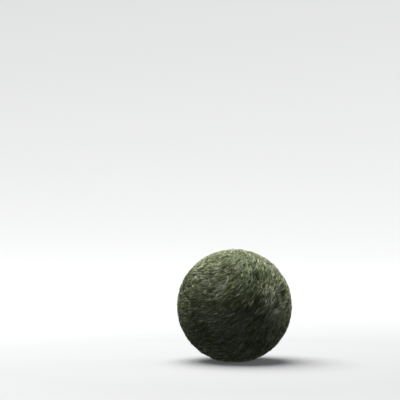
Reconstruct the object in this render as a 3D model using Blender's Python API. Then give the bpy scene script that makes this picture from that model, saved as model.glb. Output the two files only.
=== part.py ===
"""A marimo moss ball: one felted ball of fine fibres, combed flat into overlapping locks.

Metres, +Z up. The origin is the middle of the small flat spot that the ball rests on.
-Y is the front of the ball.
"""

import math

import bmesh
import bpy
import numpy as np
from mathutils import Vector, noise

# Outer size of the ball over its fibre tips
BALL_WIDTH = 0.0460
BALL_DEPTH = 0.0455
BALL_HEIGHT = 0.0444
MEAN_RADIUS = 0.0228

# The flat spot is where the soft ball is pressed by its own weight
FLAT_SPOT_SINK = 0.0010

# Slow unevenness of the felted ball: height, and width of one lump
LUMP_HEIGHT = 0.00025
LUMP_SIZE = 0.0130

# Locks of fibres lie over each other like shingles, each rising from its root to its tip
LOCK_COUNT = 600
LOCK_LENGTH = 0.0105
LOCK_WIDTH = 0.0024
LOCK_RELIEF = 0.00048
LOCK_SIZE_RANGE = (0.80, 1.25)
LOCK_LIFT_RANGE = (0.45, 1.00)
ROOT_HEIGHT = 0.22
ROOT_SHARE = 0.15
TIP_SHARE = 0.20
TIP_NARROWING = 0.65
NARROWING_START = 0.45
LOCK_BEND = 0.30
LOCK_SCATTER = 0.30

# The comb as the front shows it, in degrees: how far the fibres lean up from level at the
# middle, and how much more they lean for each radius further right
COMB_LEAN = 36
LEAN_GAIN_RIGHTWARD = 42

# Where the comb turns from that: middle (x, y, z), reach in degrees, and turn in degrees,
# positive for anticlockwise as the front shows it
COMB_TURNS = (
    ((0.42, -0.56, 0.72), 26, 44),
    ((0.86, -0.50, -0.10), 26, -14),
    ((-0.10, -0.45, -0.88), 26, -24),
    ((0.52, -0.52, -0.68), 22, 16),
    ((-0.35, 0.80, 0.48), 34, 55),
    ((0.45, 0.80, -0.35), 30, -50),
    ((-0.55, 0.55, -0.62), 28, 45),
)

# The comb winds round two poles near the rim, which lie this far back
POLE_BACKWARD = 0.25

# Pinched pits between the locks: the first two show at the upper right of the front, and the
# next two are the comb's poles
PITS = (
    (0.37, -0.75, 0.56),
    (0.70, -0.71, 0.05),
    (-0.46, 0.21, 0.86),
    (0.96, 0.07, -0.27),
    (-0.42, 0.85, 0.30),
    (0.35, 0.72, -0.60),
)
PIT_RADIUS = 0.0013
PIT_DEPTH = 0.0008

# Mesh of the ball: fine enough to carry the locks, then thinned where the surface is even
GEODESIC_LEVEL = 7
SHAPE_TRIANGLES = 9300
CUT_TOLERANCE = 1e-7
CREASE_ANGLE = 60

# Dull, dry, dark grey-green fibre
FIBRE_COLOUR = (0.060, 0.075, 0.038, 1.0)
FIBRE_ROUGHNESS = 0.75

SEED = 11


def unit(vectors):
    """The same directions, one unit long."""
    return vectors / np.linalg.norm(vectors, axis=-1, keepdims=True)


def smooth_step(low, high, value):
    """0 below low, 1 above high, and a smooth rise between them."""
    share = np.clip((value - low) / (high - low), 0.0, 1.0)
    return share * share * (3.0 - 2.0 * share)


def degrees_from(middle, outward):
    """Angle over the ball from one point of it to each of the others."""
    return np.degrees(np.arccos(np.clip(outward @ unit(np.array(middle)), -1.0, 1.0)))


def comb_direction(outward):
    """The way that the fibres are combed at each point of the ball, as unit tangents."""
    lean = COMB_LEAN + LEAN_GAIN_RIGHTWARD * outward[..., 0]
    for middle, reach, turn in COMB_TURNS:
        lean = lean + turn * np.exp(-((degrees_from(middle, outward) / reach) ** 2))
    lean = np.radians(lean)
    axis = np.stack([-np.sin(lean), POLE_BACKWARD * outward[..., 2], np.cos(lean)], axis=-1)
    return unit(np.cross(axis, outward))


def spread_directions(count, scatter, rng):
    """Directions set evenly over a sphere on a spiral, each moved at random by a share of the gap."""
    step = np.arange(count) + 0.5
    height = 1.0 - 2.0 * step / count
    turn = step * math.pi * (3.0 - math.sqrt(5.0))
    ring = np.sqrt(1.0 - height**2)
    even = np.stack([ring * np.cos(turn), ring * np.sin(turn), height], axis=1)
    gap = math.sqrt(4.0 * math.pi / count)
    return unit(even + rng.normal(0.0, scatter * gap, even.shape))


def locks(outward, rng):
    """Height of the uppermost lock over each point of the ball."""
    middles = spread_directions(LOCK_COUNT, LOCK_SCATTER, rng)
    combed = comb_direction(middles)
    sideways = np.cross(middles, combed)
    size = rng.uniform(*LOCK_SIZE_RANGE, LOCK_COUNT)
    lift = rng.uniform(*LOCK_LIFT_RANGE, LOCK_COUNT)
    bend = rng.normal(0.0, LOCK_BEND, LOCK_COUNT)
    height = np.zeros(len(outward))
    for i in range(LOCK_COUNT):
        along = (outward @ combed[i]) * MEAN_RADIUS / (LOCK_LENGTH * size[i]) + 0.5
        across = (outward @ sideways[i]) * MEAN_RADIUS / (0.5 * LOCK_WIDTH * size[i])
        across = across - bend[i] * (2.0 * along - 1.0) ** 2
        narrowed = 1.0 - TIP_NARROWING * smooth_step(NARROWING_START, 1.0, along)
        dome = np.sqrt(np.clip(1.0 - (across / narrowed) ** 2, 0.0, 1.0))
        rise = ROOT_HEIGHT + (1.0 - ROOT_HEIGHT) * np.clip(along, 0.0, 1.0)
        ends = smooth_step(0.0, ROOT_SHARE, along) * (1.0 - smooth_step(1.0 - TIP_SHARE, 1.0, along))
        near_side = outward @ middles[i] > 0.0
        height = np.maximum(height, near_side * lift[i] * rise * ends * dome)
    return LOCK_RELIEF * height


def pits(outward):
    """Depth of the pits."""
    depth = np.zeros(len(outward))
    for middle in PITS:
        away = np.radians(degrees_from(middle, outward)) * MEAN_RADIUS
        depth += PIT_DEPTH * np.exp(-((away / PIT_RADIUS) ** 2))
    return depth


def lumps(outward):
    """Slow rise and fall of the felt under the locks."""
    per_radius = MEAN_RADIUS / LUMP_SIZE
    return np.array([LUMP_HEIGHT * noise.noise(Vector(n) * per_radius) for n in outward])


def fitted(points):
    """The points brought to the ball's outer size, its lowest point sunk below the floor."""
    low, high = points.min(axis=0), points.max(axis=0)
    size = np.array([BALL_WIDTH, BALL_DEPTH, BALL_HEIGHT + FLAT_SPOT_SINK])
    points = (points - (low + high) / 2.0) * (size / (high - low))
    return points + np.array([0.0, 0.0, size[2] / 2.0 - FLAT_SPOT_SINK])


def shaped_ball():
    """A geodesic sphere with the felt's lumps, its pits and its locks raised on it."""
    rng = np.random.default_rng(SEED)
    form = bmesh.new()
    bmesh.ops.create_icosphere(form, subdivisions=GEODESIC_LEVEL, radius=1.0)
    outward = unit(np.array([v.co for v in form.verts]))
    radius = MEAN_RADIUS + lumps(outward) + locks(outward, rng) - pits(outward)
    for vertex, place in zip(form.verts, fitted(outward * radius[:, None])):
        vertex.co = place
    mesh = bpy.data.meshes.new("moss_ball_shape")
    form.to_mesh(mesh)
    form.free()
    return mesh


def thinned(mesh):
    """The mesh with its even stretches drawn in fewer triangles."""
    shape = bpy.data.objects.new("shape", mesh)
    bpy.context.scene.collection.objects.link(shape)
    thin = shape.modifiers.new("thin", "DECIMATE")
    thin.ratio = SHAPE_TRIANGLES / len(mesh.polygons)
    graph = bpy.context.evaluated_depsgraph_get()
    result = bpy.data.meshes.new_from_object(shape.evaluated_get(graph))
    bpy.data.objects.remove(shape)
    bpy.data.meshes.remove(mesh)
    return result


def cut_flat_spot(mesh):
    """Cuts the ball off level with the floor and closes the cut with one flat face."""
    form = bmesh.new()
    form.from_mesh(mesh)
    everything = form.verts[:] + form.edges[:] + form.faces[:]
    floor = {"plane_co": (0, 0, 0), "plane_no": (0, 0, -1)}
    bmesh.ops.bisect_plane(form, geom=everything, dist=CUT_TOLERANCE, clear_outer=True, **floor)
    rim = [edge for edge in form.edges if edge.is_boundary]
    bmesh.ops.contextual_create(form, geom=rim)
    bmesh.ops.recalc_face_normals(form, faces=form.faces)
    form.to_mesh(mesh)
    form.free()


def fibre_material():
    material = bpy.data.materials.new("moss_fibre")
    material.use_nodes = True
    shader = material.node_tree.nodes["Principled BSDF"]
    shader.inputs["Base Color"].default_value = FIBRE_COLOUR
    shader.inputs["Roughness"].default_value = FIBRE_ROUGHNESS
    shader.inputs["Metallic"].default_value = 0.0
    return material


def main():
    for obj in list(bpy.data.objects):
        bpy.data.objects.remove(obj)
    mesh = thinned(shaped_ball())
    cut_flat_spot(mesh)
    mesh.name = "moss_ball"
    ball = bpy.data.objects.new("moss_ball", mesh)
    bpy.context.scene.collection.objects.link(ball)
    mesh.materials.append(fibre_material())
    mesh.shade_smooth()
    mesh.set_sharp_from_angle(angle=math.radians(CREASE_ANGLE))


main()
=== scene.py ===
"""A marimo moss ball, dressed for its photograph: a felted mat under many fine combed fibres.

Metres, +Z up, -Y the front. Every fibre is a thin closed tapered tube that lies along the
comb of the ball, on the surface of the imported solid.
"""

import math

import bpy
import numpy as np
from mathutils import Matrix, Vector, noise
from mathutils.bvhtree import BVHTree


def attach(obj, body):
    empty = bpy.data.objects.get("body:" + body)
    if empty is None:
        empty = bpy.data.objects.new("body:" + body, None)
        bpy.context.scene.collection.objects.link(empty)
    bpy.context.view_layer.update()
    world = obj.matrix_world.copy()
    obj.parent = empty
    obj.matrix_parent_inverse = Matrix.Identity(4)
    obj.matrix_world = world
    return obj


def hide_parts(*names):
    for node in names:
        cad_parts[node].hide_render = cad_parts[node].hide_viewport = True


# ---- the ball ----
BALL = "moss_ball"
MEAN_RADIUS = 0.0228

# The comb as the front shows it, in degrees: how far the fibres lean up from level at the
# middle, and how much more they lean for each radius further right
COMB_LEAN = 36
LEAN_GAIN_RIGHTWARD = 42

# Where the comb turns from that: middle (x, y, z), reach in degrees, and turn in degrees,
# positive for anticlockwise as the front shows it
COMB_TURNS = (
    ((0.42, -0.56, 0.72), 26, 44),
    ((0.86, -0.50, -0.10), 26, -14),
    ((-0.10, -0.45, -0.88), 26, -8),
    ((0.52, -0.52, -0.68), 22, 30),
    ((-0.35, 0.80, 0.48), 34, 55),
    ((0.45, 0.80, -0.35), 30, -50),
    ((-0.55, 0.55, -0.62), 28, 45),
    ((0.80, -0.60, -0.04), 7, -55),
)

# The comb winds round two poles near the rim: how far back it puts them, and where they come out
POLE_BACKWARD = 0.25
POLES = ((-0.46, 0.21, 0.86), (0.96, 0.07, -0.27))

# Pinched pits between the locks: middle (x, y, z) and radius. The first nine show on the
# right of the front, the next two are at the comb's poles, and the last two are behind
PITS = (
    ((0.38, -0.74, 0.55), 0.00130),
    ((0.35, -0.81, 0.47), 0.00080),
    ((0.70, -0.71, 0.05), 0.00085),
    ((0.83, -0.50, 0.25), 0.00100),
    ((0.84, -0.52, 0.15), 0.00070),
    ((0.50, -0.69, 0.52), 0.00055),
    ((0.27, -0.93, 0.25), 0.00035),
    ((0.35, -0.93, 0.09), 0.00035),
    ((0.62, -0.62, 0.47), 0.00040),
    (POLES[0], 0.00060),
    (POLES[1], 0.00060),
    ((-0.42, 0.85, 0.30), 0.00080),
    ((0.35, 0.72, -0.60), 0.00080),
)

# How far a pit sinks the felt, how far it sinks the fibres round it and darkens them with
# painted shade, and over how many of its radii it does so to the fibres
PIT_DEPTH = 0.0016
PIT_DIP = 0.00050
PIT_PAINTED_SHADE = -0.28
PIT_REACH = 2.0

# A fibre is left out where it comes nearer to a pit than its edge, which is at random between
# these two numbers of radii. It is looked at in so many places on each length of its tube
PIT_EDGE = (0.5, 1.3)
PIT_LOOKS = 6

# The fibres lie on an even ball: its middle, half its size, and the share of the solid's own
# relief that it has
EVEN_MIDDLE = (0.0, 0.0, 0.02170)
EVEN_HALF_SIZE = (0.02270, 0.02245, 0.02245)
RELIEF_KEPT = 0.20

# ---- the felt under the fibres ----
# Its depth under that ball, how often its faces are divided, and the height and size of its grain
FELT_DEPTH = 0.0009
FELT_LEVEL = 6
FELT_GRAIN_HEIGHT = 0.00010
FELT_GRAIN_SIZE = 0.0006

# ---- the fibres ----
# Pieces, locks in a piece, fibres in a lock, and lengths of tube in a fibre
PIECES = 5
LOCKS_PER_PIECE = 9700
FIBRES_PER_LOCK = 2
STEPS = 2

# Locks: length, how unevenly they are set as a share of the gap between them, how far they
# turn from the comb in degrees, and the share of them that also turn aside, and how far
LOCK_LENGTHS = (0.0029, 0.0064)
LOCK_SCATTER = 0.45
LOCK_TURN = 11
CROSSING_SHARE = 0.08
CROSSING_TURN = 40

# Slow turning of the comb from place to place: the most that it turns, in degrees, and the
# size of one such place
DRIFT_TURN = 26
DRIFT_SIZE = 0.0050

# Round the comb's poles the fibres lie in a tangle: how far, in degrees, how much they turn,
# and what share of their length is left at the pole
TANGLE_REACH = 17
TANGLE_TURN = 55
LENGTH_LEFT_AT_POLE = 0.45

# Fibres in their lock: distance aside and ahead of it, the share by which they draw together
# at the tip, how far they turn in degrees, and their share of the lock's length
LOCK_HALF_WIDTH = 0.00006
LOCK_STAGGER = 0.0012
LOCK_GATHER = 0.25
FIBRE_TURN = 4.0
FIBRE_LENGTHS = (0.70, 1.10)

# Sideways waves of the locks and of single fibres: height, and length of a wave
LOCK_WAVES = (0.00002, 0.00008)
FIBRE_WAVE = 0.00004
WAVE_LENGTHS = (0.0035, 0.0060)

# The tube of a fibre: where its edges are, in degrees from level, its radius, the shares by
# which the radius differs and may differ at most, and what is left of it at each ring
SIDE_ANGLES = (90.0, 210.0, 330.0)
SIDES = len(SIDE_ANGLES)
FIBRE_RADIUS = 0.000073
FIBRE_RADIUS_SPREAD = 0.20
FIBRE_RADIUS_LIMIT = 0.5
TAPER = (0.85, 1.00)

# Depth of a lock under the fibres' surface, from the lowest lock to the uppermost, and how
# much further down its fibres lie at each step from root to tip
LOCK_DEPTHS = (0.00064, 0.00000)
RISE_FROM_ROOT = (0.00045, 0.00000, 0.00008)
FIBRE_DEPTH_SPREAD = 0.00008

# A few strays lift off at the tip, and nothing comes nearer to the floor than the gap
STRAY_SHARE = 0.008
STRAY_LIFT = 0.00025
FLOOR_GAP = 0.00005

# ---- colours: u runs over the tones, dark to pale, and v from root to tip ----
UV_NAME = "OFBake"
TONES = (
    (0.00, (0.011, 0.016, 0.005)),
    (0.35, (0.042, 0.062, 0.015)),
    (0.65, (0.112, 0.140, 0.046)),
    (0.85, (0.235, 0.254, 0.152)),
    (1.00, (0.380, 0.390, 0.312)),
)

# Painted shade towards the root, where a fibre lies under the others: the share of its colour
# that a fibre has at the root, and the v from which it has all of it
ROOT_PAINTED_SHADE = 0.30
PAINTED_SHADE_END = 0.55

# Tone of the fibres: mean, how far locks differ, how far fibres of a lock differ, how much
# paler the uppermost lock is than the lowest, as painted shade on the lower locks, and the width that
# a fibre takes up in u
TONE_MEAN = 0.44
LOCK_TONE_SPREAD = 0.24
FIBRE_TONE_SPREAD = 0.25
DEPTH_PAINTED_SHADE = 0.20
TONE_STRIP = 1.0 / 64.0

# Slow change of tone from place to place, and the size of one such place
PATCH_TONE = 0.08
PATCH_SIZE = 0.0055

# Tufts: how much the tone and the height of the locks differ between them, the sunken ones darker as
# painted shade, and their size
TUFT_PAINTED_SHADE = 0.12
TUFT_HEIGHT = 0.00018
TUFT_SIZE = 0.0017

# Paler and darker places on the front, partly the fibres' own patches and partly painted light
# and painted shade where the lamps leave the fibres too dark or too pale: middle (x, y, z),
# reach in degrees, and change of tone
TONE_AND_PAINTED_LIGHT_PLACES = (
    ((-0.17, -0.90, 0.40), 11, 0.50),
    ((-0.50, -0.67, 0.54), 13, 0.30),
    ((-0.78, -0.50, 0.38), 13, -0.22),
    ((-0.58, -0.81, 0.05), 14, -0.14),
    ((0.28, -0.88, 0.38), 14, -0.25),
    ((0.25, -0.95, 0.10), 16, -0.08),
    ((0.26, -0.96, -0.06), 11, 0.16),
    ((0.50, -0.50, 0.70), 15, -0.22),
    ((0.70, -0.69, 0.20), 10, 0.62),
    ((0.80, -0.60, -0.03), 8, 0.42),
    ((-0.15, -0.98, -0.12), 16, 0.26),
    ((0.05, -0.96, 0.26), 18, -0.19),
)

# Nearly all values of a noise texture lie in this range
NOISE_RANGE = (0.3, 0.7)

# Mottling of the fibres: how often it changes over u and over v, its detail, the factors that
# it puts on the colour, the roughness that it gives, and the strength and height of its bumps
MOTTLE_ACROSS = 90.0
MOTTLE_ALONG = 7.0
MOTTLE_DETAIL = 2.0
MOTTLE_SHADES = (0.65, 1.35)
FIBRE_ROUGHNESS = (0.50, 0.72)
FIBRE_BUMP = (0.5, 0.00004)
FIBRE_SPECULAR = 0.06
FIBRE_SHEEN = 0.10
FIBRE_SHEEN_ROUGHNESS = 0.5

# Grain of the felt: how often it changes in a metre, its detail, the colours and the roughness
# that it gives, and the strength and height of its bumps
GRAIN_PER_METRE = 1800.0
GRAIN_DETAIL = 3.0
# The felt's colours are far darker than the fibres' own, as painted shade at the bottom of the gaps
FELT_PAINTED_SHADE_COLOURS = ((0.30, (0.006, 0.008, 0.004)), (0.70, (0.030, 0.040, 0.018)))
FELT_ROUGHNESS = (0.75, 0.95)
FELT_BUMP = (0.8, 0.0001)
FELT_SPECULAR = 0.2

# ---- the stage: a round pale floor that sweeps up into a wall all round ----
FLOOR_RADIUS = 0.90
SWEEP_RADIUS = 0.60
WALL_TOP = 2.2
STAGE_SIDES = 128
SWEEP_STEPS = 16
STAGE_COLOUR = (0.127, 0.129, 0.134, 1.0)
STAGE_ROUGHNESS = 0.9
STAGE_SPECULAR = 0.1

# Glow of the paper: colour, strength near the ball and at the wall, and how far from the ball
# the one starts to change into the other and has done so
STAGE_GLOW = (1.0, 1.0, 1.0, 1.0)
GLOW_NEAR_BALL = 0.06
GLOW_AT_WALL = 0.70
GLOW_REACH = (0.10, 0.90)

# ---- light and camera ----
# Each lamp: name, place, width, power and colour
LAMPS = (
    ("key", (-0.18, 0.20, 0.74), 0.90, 49.0, (1.0, 0.99, 0.95)),
    ("right", (0.80, 0.28, 0.22), 0.20, 3.1, (1.0, 1.0, 1.0)),
    ("left", (-0.75, 0.40, 0.20), 0.30, 0.52, (1.0, 1.0, 1.0)),
)
AIR_COLOUR = (0.93, 1.00, 1.12, 1.0)
AIR_STRENGTH = 0.22

# The camera: its distance from the ball, the width that it sees there, how far it is to the
# right of the ball's middle and above it, the width of its sensor in mm, and how near and how
# far it sees. It looks down until it is turned up by these degrees, to be level
VIEW_DISTANCE = 0.65
VIEW_WIDTH = 0.1586
VIEW_OFFSET = (-0.0136, 0.0420)
SENSOR = 36.0
NEAREST_SEEN = 0.01
FARTHEST_SEEN = 10.0
UP_TO_LEVEL = 90.0

SEED = 23


def unit(vectors):
    """The same directions, one unit long."""
    return vectors / np.linalg.norm(vectors, axis=-1, keepdims=True)


def degrees_from(middle, outward):
    """Angle over the ball from one point of it to each of the others."""
    return np.degrees(np.arccos(np.clip(outward @ unit(np.array(middle)), -1.0, 1.0)))


def fading(distance):
    """The share of a change that is left at so many of its reaches: all at 0, hardly any at 2."""
    return np.exp(-(distance**2))


def comb_direction(outward):
    """The way that the fibres are combed at each point of the ball, as unit tangents."""
    lean = COMB_LEAN + LEAN_GAIN_RIGHTWARD * outward[..., 0]
    for middle, reach, turn in COMB_TURNS:
        lean = lean + turn * fading(degrees_from(middle, outward) / reach)
    lean = np.radians(lean)
    axis = np.stack([-np.sin(lean), POLE_BACKWARD * outward[..., 2], np.cos(lean)], axis=-1)
    return unit(np.cross(axis, outward))


def turned(tangents, outward, degrees):
    """The tangents turned about the outward direction."""
    angle = np.radians(degrees)[..., None]
    return np.cos(angle) * tangents + np.sin(angle) * np.cross(outward, tangents)


def spread_directions(count, scatter, rng):
    """Directions set evenly over a sphere on a spiral, each moved at random by a share of the gap."""
    step = np.arange(count) + 0.5
    height = 1.0 - 2.0 * step / count
    # the spiral turns by the golden angle from each direction to the next
    turn = step * math.pi * (3.0 - math.sqrt(5.0)) + rng.uniform(0.0, 2.0 * math.pi)
    ring = np.sqrt(1.0 - height**2)
    even = np.stack([ring * np.cos(turn), ring * np.sin(turn), height], axis=1)
    gap = math.sqrt(4.0 * math.pi / count)
    return unit(even + rng.normal(0.0, scatter * gap, even.shape))


def bumps(outward, size):
    """Smooth noise over the ball, mostly within half a unit of 0, with bumps about as wide as size."""
    per_radius = MEAN_RADIUS / size
    return np.array([noise.noise(Vector(n) * per_radius) for n in outward])


def from_pits(outward):
    """Distance over the ball to the middle of the nearest pit, in radii of that pit."""
    nearest = np.full(outward.shape[:-1], np.inf)
    for middle, radius in PITS:
        away = np.radians(degrees_from(middle, outward)) * MEAN_RADIUS
        nearest = np.minimum(nearest, away / radius)
    return nearest


def nearest_pit(paths):
    """How near each path comes to a pit anywhere along it, in radii of that pit."""
    share = (np.arange(PIT_LOOKS) / PIT_LOOKS)[:, None]
    legs = paths[..., :-1, None, :] + np.diff(paths, axis=-2)[..., None, :] * share
    return from_pits(legs).min(axis=(-2, -1))


class Surface:
    """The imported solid's surface, evened out, as seen outward from the ball's middle."""

    def __init__(self, node):
        self.middle = Vector(EVEN_MIDDLE)
        mesh = node.data
        corners = [v.co.copy() for v in mesh.vertices]
        self.tree = BVHTree.FromPolygons(corners, [tuple(p.vertices) for p in mesh.polygons])

    def radius(self, outward):
        """How far the surface is from the middle in each direction."""
        flat = outward.reshape(-1, 3)
        found = np.empty(len(flat))
        for i, way in enumerate(flat):
            found[i] = self.tree.ray_cast(self.middle, Vector(way))[3]
        even = 1.0 / np.linalg.norm(flat / np.array(EVEN_HALF_SIZE), axis=1)
        return (even + RELIEF_KEPT * (found - even)).reshape(outward.shape[:-1])

    def place(self, outward, depth):
        """Points that lie at a depth under the surface, and over the floor."""
        away = (self.radius(outward) - depth)[..., None]
        points = np.array(self.middle) + outward * away
        points[..., 2] = np.maximum(points[..., 2], FLOOR_GAP + FIBRE_RADIUS)
        return points


def comb_locks(rng):
    """Root, turn from the comb, and length of each lock in one piece."""
    count = LOCKS_PER_PIECE
    root = spread_directions(count, LOCK_SCATTER, rng)
    turn = DRIFT_TURN * bumps(root, DRIFT_SIZE) + rng.normal(0.0, LOCK_TURN, count)
    crossing = rng.uniform(0.0, 1.0, count) < CROSSING_SHARE
    turn = turn + crossing * rng.normal(0.0, CROSSING_TURN, count)
    left = np.ones(count)
    for pole in POLES:
        tangle = fading(degrees_from(pole, root) / TANGLE_REACH)
        turn = turn + tangle * rng.normal(0.0, TANGLE_TURN, count)
        left = left * (1.0 - (1.0 - LENGTH_LEFT_AT_POLE) * tangle)
    return root, turn, rng.uniform(*LOCK_LENGTHS, count) * left


def traced(root, turn, length):
    """Unit directions of points along the comb from each root: shape (locks, steps + 1, 3)."""
    path = [root]
    for _ in range(STEPS):
        here = path[-1]
        way = turned(comb_direction(here), here, turn)
        path.append(unit(here + way * (length / STEPS / MEAN_RADIUS)[:, None]))
    return np.stack(path, axis=1)


def fibre_directions(path, length, rng):
    """Unit directions of points along each fibre: shape (locks, fibres of a lock, steps + 1, 3)."""
    count = len(path)
    shape = (count, FIBRES_PER_LOCK)

    # each lock's own frame at every step
    ahead = np.gradient(path, axis=1)
    ahead = unit(ahead - path * (ahead * path).sum(-1, keepdims=True))
    aside = np.cross(path, ahead)

    across = rng.normal(0.0, LOCK_HALF_WIDTH, shape)[..., None]
    stagger = rng.uniform(-LOCK_STAGGER, LOCK_STAGGER, shape)[..., None]
    splay = np.tan(np.radians(rng.normal(0.0, FIBRE_TURN, shape)))[..., None]
    stretch = rng.uniform(*FIBRE_LENGTHS, shape)[..., None]
    lock_wave = rng.uniform(*LOCK_WAVES, count)[:, None, None]
    wave_length = rng.uniform(*WAVE_LENGTHS, count)[:, None, None]
    lock_phase = rng.uniform(0.0, 2.0 * math.pi, count)[:, None, None]
    fibre_phase = rng.uniform(0.0, 2.0 * math.pi, shape)[..., None]

    step = np.arange(STEPS + 1) / STEPS
    lock_length = length[:, None, None]
    reach = step * stretch * lock_length
    swing = 2.0 * math.pi * (reach + stagger) / wave_length
    sideways = across * (1.0 - LOCK_GATHER * step) + reach * splay
    sideways = sideways + lock_wave * np.sin(swing + lock_phase)
    sideways = sideways + FIBRE_WAVE * np.sin(swing + fibre_phase)
    forward = stagger + reach - step * lock_length
    return unit(
        path[:, None]
        + aside[:, None] * (sideways / MEAN_RADIUS)[..., None]
        + ahead[:, None] * (forward / MEAN_RADIUS)[..., None]
    )


def fibre_depths(outward, level, tuft, rng):
    """Depth of the points of each fibre under the surface, by its lock's level and tuft."""
    shape = outward.shape[:2]
    lowest, uppermost = LOCK_DEPTHS
    depth = lowest + (uppermost - lowest) * level + rng.normal(0.0, FIBRE_DEPTH_SPREAD, shape)
    depth = depth - TUFT_HEIGHT * tuft
    stray = rng.uniform(0.0, 1.0, shape) < STRAY_SHARE
    step = np.arange(STEPS + 1) / STEPS
    depth = depth[..., None] + np.array(RISE_FROM_ROOT) - stray[..., None] * STRAY_LIFT * step**2
    return depth + PIT_DIP * fading(from_pits(outward) / PIT_REACH)


def fibre_tones(root, tip, level, tuft, beside_pit, rng):
    """Tone of each fibre, from 0 to 1, by where its lock is and how near it comes to a pit,
    partly as painted shade and painted light.
    """
    # painted shade: sunken tufts darker and raised ones paler, with their height
    tone = TONE_MEAN + PATCH_TONE * bumps(root, PATCH_SIZE)[:, None] + TUFT_PAINTED_SHADE * tuft
    tone = tone + rng.normal(0.0, LOCK_TONE_SPREAD, len(root))[:, None]
    # partly painted light and painted shade: places made paler or darker than the lamps leave them
    for middle, reach, change in TONE_AND_PAINTED_LIGHT_PLACES:
        tone = tone + change * fading(degrees_from(middle, tip) / reach)[:, None]
    # painted shade: the lower locks darker, the uppermost paler
    tone = tone + DEPTH_PAINTED_SHADE * (level - 0.5)
    # painted shade: fibres darker round a pit
    tone = tone + PIT_PAINTED_SHADE * fading(beside_pit / PIT_REACH)
    return np.clip(tone + rng.normal(0.0, FIBRE_TONE_SPREAD, tone.shape), 0.0, 1.0)


def fibre_paths(surface, rng):
    """Middle lines of one piece's fibres, with the tone and the thickness of each."""
    root, turn, length = comb_locks(rng)
    path = traced(root, turn, length)
    outward = fibre_directions(path, length, rng)
    level = rng.uniform(0.0, 1.0, len(root))[:, None]
    tuft = bumps(root, TUFT_SIZE)[:, None]
    depth = fibre_depths(outward, level, tuft, rng)
    beside_pit = nearest_pit(outward)
    tone = fibre_tones(root, path[:, -1], level, tuft, beside_pit, rng)
    spread = rng.normal(0.0, FIBRE_RADIUS_SPREAD, tone.shape)
    thickness = FIBRE_RADIUS * (1.0 + np.clip(spread, -FIBRE_RADIUS_LIMIT, FIBRE_RADIUS_LIMIT))
    kept = beside_pit > rng.uniform(*PIT_EDGE, tone.shape)
    return surface.place(outward[kept], depth[kept]), tone[kept], thickness[kept]


def tube_pattern():
    """Faces of one fibre and the spot of each of their corners: how far round, and which ring."""
    faces, spots = [], []
    for ring in range(STEPS - 1):
        near, far = SIDES * ring, SIDES * (ring + 1)
        for side in range(SIDES):
            other = (side + 1) % SIDES
            faces.append((near + side, near + other, far + other, far + side))
            spots += [(side, ring), (side + 1, ring), (side + 1, ring + 1), (side, ring + 1)]
    last, tip = SIDES * (STEPS - 1), SIDES * STEPS
    for side in range(SIDES):
        faces.append((last + side, last + (side + 1) % SIDES, tip))
        spots += [(side, STEPS - 1), (side + 1, STEPS - 1), (side + 0.5, STEPS)]
    faces.append(tuple(reversed(range(SIDES))))
    spots += [(across, 0) for across in np.linspace(SIDES, 0, SIDES)]
    return faces, np.array(spots, dtype=float) / (SIDES, STEPS)


def fibre_mesh(name, surface, rng):
    """One mesh of many closed, three-sided fibres that end in a point."""
    points, tone, thickness = fibre_paths(surface, rng)
    count = len(points)
    ahead = unit(np.gradient(points, axis=1))
    aside = unit(np.cross(unit(points - np.array(surface.middle)), ahead))
    upward = np.cross(ahead, aside)
    ring_radius = (thickness[:, None] * np.array(TAPER))[..., None]
    sides = []
    for angle in np.radians(SIDE_ANGLES):
        spoke = math.cos(angle) * aside + math.sin(angle) * upward
        sides.append(points[:, :STEPS] + spoke[:, :STEPS] * ring_radius)
    tube = np.stack(sides, axis=2).reshape(count, SIDES * STEPS, 3)
    corners = np.concatenate([tube, points[:, STEPS:]], axis=1)
    corners[..., 2] = np.maximum(corners[..., 2], FLOOR_GAP)

    faces, face_spots = tube_pattern()
    first = np.arange(count) * corners.shape[1]
    loops = (first[:, None] + np.concatenate([np.array(face) for face in faces])).reshape(-1)
    sizes = np.tile([len(face) for face in faces], count)
    spots = np.empty((count, *face_spots.shape))
    spots[..., 0] = tone[:, None] * (1.0 - TONE_STRIP) + TONE_STRIP * face_spots[:, 0]
    spots[..., 1] = face_spots[:, 1]

    mesh = bpy.data.meshes.new(name)
    mesh.vertices.add(corners.shape[0] * corners.shape[1])
    mesh.vertices.foreach_set("co", corners.reshape(-1))
    mesh.loops.add(len(loops))
    mesh.loops.foreach_set("vertex_index", loops)
    mesh.polygons.add(len(sizes))
    mesh.polygons.foreach_set("loop_start", np.concatenate([[0], np.cumsum(sizes)[:-1]]))
    mesh.uv_layers.new(name=UV_NAME).uv.foreach_set("vector", spots.reshape(-1))
    mesh.update(calc_edges=True)
    mesh.validate()
    mesh.shade_smooth()
    return mesh


def felt_mesh(name, surface):
    """The mat of felted fibres that shows in the gaps: the ball's surface, a little further in."""
    bpy.ops.mesh.primitive_ico_sphere_add(subdivisions=FELT_LEVEL, radius=1.0)
    ball = bpy.context.active_object
    mesh = ball.data
    outward = unit(np.array([v.co for v in mesh.vertices]))
    depth = FELT_DEPTH + PIT_DEPTH * fading(from_pits(outward))
    depth = depth - FELT_GRAIN_HEIGHT * bumps(outward, FELT_GRAIN_SIZE)
    mesh.vertices.foreach_set("co", surface.place(outward, depth).reshape(-1))
    mesh.update()
    mesh.name = name
    mesh.shade_smooth()
    bpy.data.objects.remove(ball)
    return mesh


def new_material(name):
    """A material with its nodes, its links and its one shader."""
    material = bpy.data.materials.new(name)
    material.use_nodes = True
    nodes = material.node_tree.nodes
    return material, nodes, material.node_tree.links, nodes["Principled BSDF"]


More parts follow.
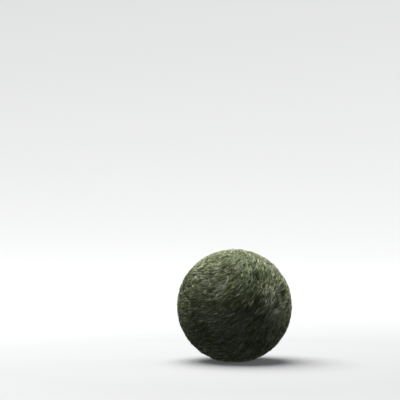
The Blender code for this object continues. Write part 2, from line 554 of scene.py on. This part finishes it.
def colour_ramp(nodes, links, value, stops):
    """The colour that a ramp with these (place, colour) stops gives for a value."""
    ramp = nodes.new("ShaderNodeValToRGB")
    band = ramp.color_ramp
    for place, colour in stops[1:-1]:
        band.elements.new(place)
    for stop, (place, colour) in zip(band.elements, stops):
        stop.position = place
        stop.color = (*colour, 1.0)
    links.new(value, ramp.inputs["Fac"])
    return ramp.outputs["Color"]


def map_range(nodes, links, value, from_range, to_range):
    """One range of a value mapped to another."""
    node = nodes.new("ShaderNodeMapRange")
    links.new(value, node.inputs["Value"])
    node.inputs["From Min"].default_value, node.inputs["From Max"].default_value = from_range
    node.inputs["To Min"].default_value, node.inputs["To Max"].default_value = to_range
    return node.outputs["Result"]


def scaled(nodes, links, vector, factor):
    """A vector or a colour times a factor."""
    node = nodes.new("ShaderNodeVectorMath")
    node.operation = "SCALE"
    links.new(vector, node.inputs[0])
    links.new(factor, node.inputs["Scale"])
    return node.outputs["Vector"]


def noise_at(nodes, links, place, dimensions, scale, detail):
    """Value of a noise texture at a place."""
    texture = nodes.new("ShaderNodeTexNoise")
    texture.noise_dimensions = dimensions
    texture.inputs["Scale"].default_value = scale
    texture.inputs["Detail"].default_value = detail
    links.new(place, texture.inputs["Vector"])
    return texture.outputs["Fac"]


def roughen(nodes, links, shader, value, roughness, bump):
    """Gives a shader the roughness and the small relief that a noise value makes."""
    rough = map_range(nodes, links, value, NOISE_RANGE, roughness)
    links.new(rough, shader.inputs["Roughness"])
    relief = nodes.new("ShaderNodeBump")
    relief.inputs["Strength"].default_value, relief.inputs["Distance"].default_value = bump
    links.new(value, relief.inputs["Height"])
    links.new(relief.outputs["Normal"], shader.inputs["Normal"])


def fibre_material():
    """Fibre colour from its tone and from how near the tip is, with painted shade towards the root, a
    little mottled along it.
    """
    material, nodes, links, shader = new_material("moss_fibres")
    spot = nodes.new("ShaderNodeUVMap")
    spot.uv_map = UV_NAME
    parts = nodes.new("ShaderNodeSeparateXYZ")
    links.new(spot.outputs["UV"], parts.inputs["Vector"])
    colour = colour_ramp(nodes, links, parts.outputs["X"], TONES)
    # painted shade: each fibre darker towards its root, where it lies under the others
    shade = map_range(nodes, links, parts.outputs["Y"], (0.0, PAINTED_SHADE_END), (ROOT_PAINTED_SHADE, 1.0))

    stretch = nodes.new("ShaderNodeMapping")
    stretch.inputs["Scale"].default_value = (MOTTLE_ACROSS, MOTTLE_ALONG, 1.0)
    links.new(spot.outputs["UV"], stretch.inputs["Vector"])
    mottle = noise_at(nodes, links, stretch.outputs["Vector"], "2D", 1.0, MOTTLE_DETAIL)
    patch = map_range(nodes, links, mottle, NOISE_RANGE, MOTTLE_SHADES)

    colour = scaled(nodes, links, scaled(nodes, links, colour, shade), patch)
    links.new(colour, shader.inputs["Base Color"])
    roughen(nodes, links, shader, mottle, FIBRE_ROUGHNESS, FIBRE_BUMP)
    shader.inputs["Specular IOR Level"].default_value = FIBRE_SPECULAR
    shader.inputs["Sheen Weight"].default_value = FIBRE_SHEEN
    shader.inputs["Sheen Roughness"].default_value = FIBRE_SHEEN_ROUGHNESS
    return material


def felt_material():
    """Tangled fibre at the bottom of the gaps, coloured far darker than the fibres as painted shade.
    """
    material, nodes, links, shader = new_material("moss_felt")
    place = nodes.new("ShaderNodeTexCoord").outputs["Object"]
    grain = noise_at(nodes, links, place, "3D", GRAIN_PER_METRE, GRAIN_DETAIL)
    # painted shade: the felt is coloured far darker than the fibres
    links.new(colour_ramp(nodes, links, grain, FELT_PAINTED_SHADE_COLOURS), shader.inputs["Base Color"])
    roughen(nodes, links, shader, grain, FELT_ROUGHNESS, FELT_BUMP)
    shader.inputs["Specular IOR Level"].default_value = FELT_SPECULAR
    return material


def stage_material():
    """Pale paper that glows, more so far out, so that the wall is as pale as the floor."""
    material, nodes, links, shader = new_material("stage_paper")
    shader.inputs["Base Color"].default_value = STAGE_COLOUR
    shader.inputs["Roughness"].default_value = STAGE_ROUGHNESS
    shader.inputs["Specular IOR Level"].default_value = STAGE_SPECULAR
    shader.inputs["Emission Color"].default_value = STAGE_GLOW
    place = nodes.new("ShaderNodeNewGeometry")
    distance = nodes.new("ShaderNodeVectorMath")
    distance.operation = "LENGTH"
    links.new(place.outputs["Position"], distance.inputs[0])
    glow = (GLOW_NEAR_BALL, GLOW_AT_WALL)
    glow = map_range(nodes, links, distance.outputs["Value"], GLOW_REACH, glow)
    links.new(glow, shader.inputs["Emission Strength"])
    return material


def add_piece(name, mesh, material):
    """A piece of the ball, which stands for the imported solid."""
    piece = bpy.data.objects.new(name, mesh)
    bpy.context.scene.collection.objects.link(piece)
    mesh.materials.append(material)
    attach(piece, "root")
    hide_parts(BALL)


def add_stage():
    """A disc that curves up into a wall all round, the same from every side."""
    profile = [(FLOOR_RADIUS, 0.0)]
    for i in range(1, SWEEP_STEPS + 1):
        angle = 0.5 * math.pi * i / SWEEP_STEPS
        out = FLOOR_RADIUS + SWEEP_RADIUS * math.sin(angle)
        profile.append((out, SWEEP_RADIUS * (1.0 - math.cos(angle))))
    profile.append((FLOOR_RADIUS + SWEEP_RADIUS, WALL_TOP))
    corners, faces = [(0.0, 0.0, 0.0)], []
    for out, height in profile:
        for side in range(STAGE_SIDES):
            angle = 2.0 * math.pi * side / STAGE_SIDES
            corners.append((out * math.cos(angle), out * math.sin(angle), height))
    for side in range(STAGE_SIDES):
        other = (side + 1) % STAGE_SIDES
        faces.append((0, 1 + side, 1 + other))
        for ring in range(len(profile) - 1):
            near, far = 1 + ring * STAGE_SIDES, 1 + (ring + 1) * STAGE_SIDES
            faces.append((near + side, far + side, far + other, near + other))
    mesh = bpy.data.meshes.new("stage_floor")
    mesh.from_pydata(corners, [], faces)
    mesh.shade_smooth()
    mesh.materials.append(stage_material())
    floor = bpy.data.objects.new("stage_floor", mesh)
    bpy.context.scene.collection.objects.link(floor)
    # the ball's underside stays dark, because no light comes up to it from the floor
    floor.visible_diffuse = False


def add_light(name, place, width, power, colour, aim):
    """A round soft lamp that points at the aim and that the camera doesn't see."""
    lamp = bpy.data.lights.new(name, "AREA")
    lamp.color = colour
    lamp.shape = "DISK"
    lamp.size = width
    lamp.energy = power
    light = bpy.data.objects.new(name, lamp)
    bpy.context.scene.collection.objects.link(light)
    light.location = place
    light.rotation_euler = (aim - Vector(place)).to_track_quat("-Z", "Y").to_euler()
    light.visible_camera = False


def add_air():
    """Faint light from all round."""
    world = bpy.data.worlds.new("air")
    world.use_nodes = True
    air = world.node_tree.nodes["Background"]
    air.inputs["Color"].default_value = AIR_COLOUR
    air.inputs["Strength"].default_value = AIR_STRENGTH
    bpy.context.scene.world = world


def add_camera(middle):
    """Level camera that keeps the ball where the photograph has it, seen from a little above."""
    camera = bpy.data.cameras.new("camera")
    camera.sensor_width = SENSOR
    camera.lens = SENSOR * VIEW_DISTANCE / VIEW_WIDTH
    camera.clip_start = NEAREST_SEEN
    camera.clip_end = FARTHEST_SEEN
    viewer = bpy.data.objects.new("camera", camera)
    bpy.context.scene.collection.objects.link(viewer)
    aside, above = VIEW_OFFSET
    viewer.location = (middle.x + aside, middle.y - VIEW_DISTANCE, middle.z + above)
    viewer.rotation_euler = (math.radians(UP_TO_LEVEL), 0.0, 0.0)
    bpy.context.scene.camera = viewer


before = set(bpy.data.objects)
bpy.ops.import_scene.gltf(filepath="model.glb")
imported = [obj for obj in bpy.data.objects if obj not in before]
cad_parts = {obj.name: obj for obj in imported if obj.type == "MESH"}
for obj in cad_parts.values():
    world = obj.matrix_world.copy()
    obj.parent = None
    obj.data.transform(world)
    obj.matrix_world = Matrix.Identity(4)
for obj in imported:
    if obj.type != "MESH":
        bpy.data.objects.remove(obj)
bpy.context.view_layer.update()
surface = Surface(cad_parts[BALL])
rng = np.random.default_rng(SEED)

add_piece("felt", felt_mesh("felt", surface), felt_material())
fibres = fibre_material()
for number in range(1, PIECES + 1):
    name = f"fibres_{number}"
    add_piece(name, fibre_mesh(name, surface, rng), fibres)

add_stage()
for lamp in LAMPS:
    add_light(*lamp, surface.middle)
add_air()
add_camera(surface.middle)
bpy.context.scene.view_settings.view_transform = "Standard"
